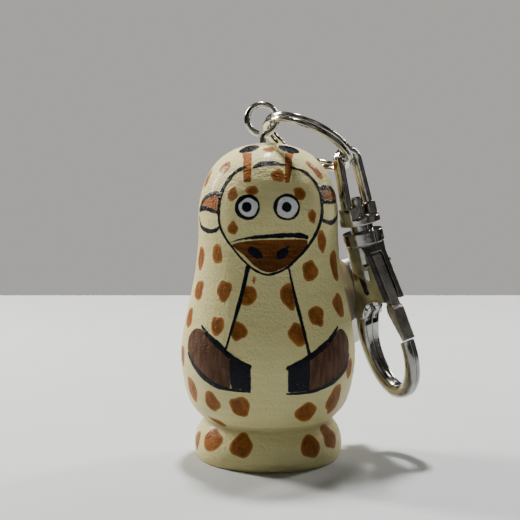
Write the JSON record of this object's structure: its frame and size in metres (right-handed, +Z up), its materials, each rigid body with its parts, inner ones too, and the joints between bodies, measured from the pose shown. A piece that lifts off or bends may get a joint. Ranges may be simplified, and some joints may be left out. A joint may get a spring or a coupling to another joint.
{
  "type": "keychain charm",
  "caption": "Painted turned-wood animal doll charm on a screw eye and split ring, with a swivel trigger snap hook.",
  "frame": {"origin": "centre of the doll's flat foot, on the surface it stands on", "axes": "+Z up through the doll, the painted face looks to -Y, the snap hook hangs on the +X side"},
  "size_m": [0.0454, 0.0332, 0.0677],
  "materials": {
    "painted_wood": "cream gloss lacquer with brown spots and black lines painted by hand",
    "nickel_wire": "nickel-plated drawn wire",
    "ring_steel": "nickel-plated flattened spring steel",
    "nickel_casting": "polished nickel-plated zinc casting",
    "dull_casting": "duller tumbled nickel-plated zinc casting",
    "rivet_steel": "nickel-plated steel rivet and pin",
    "spring_steel": "bright spring wire"
  },
  "bodies": {
    "doll": {"doll_body": "painted_wood", "screw_eye": "nickel_wire"},
    "ring": {"split_ring": "ring_steel"},
    "bow": {"swivel_bow": "nickel_casting"},
    "hook": {"hook_body": "nickel_casting", "swivel_rivet": "rivet_steel", "gate_pin": "rivet_steel", "gate_spring": "spring_steel"},
    "gate": {"gate_lever": "dull_casting"}
  },
  "joints": [
    {"name": "ring_swing", "type": "hinge", "parent": "doll", "child": "ring", "pos_m": [-0.0001, 0, 0.0641], "axis": [0.2024, -0.9263, 0.3178], "range_deg": [0, 170]},
    {"name": "bow_swing", "type": "hinge", "parent": "ring", "child": "bow", "pos_m": [0.01505, 0.0006, 0.0562], "axis": [0.2024, -0.9263, 0.3178], "range_deg": [0, 150]},
    {"name": "hook_swivel", "type": "hinge", "parent": "bow", "child": "hook", "pos_m": [0.01823, 0.00134, 0.04187], "axis": [-0.216, -0.05, 0.9751], "range_deg": [-60, 5]},
    {"name": "gate_hinge", "type": "hinge", "parent": "hook", "child": "gate", "pos_m": [0.02057, -0.00051, 0.03716], "axis": [0.8296, 0.5173, 0.2103], "range_deg": [0, 20], "stiffness_Nm_per_rad": 0.02, "deforming": ["gate_spring"]}
  ]
}
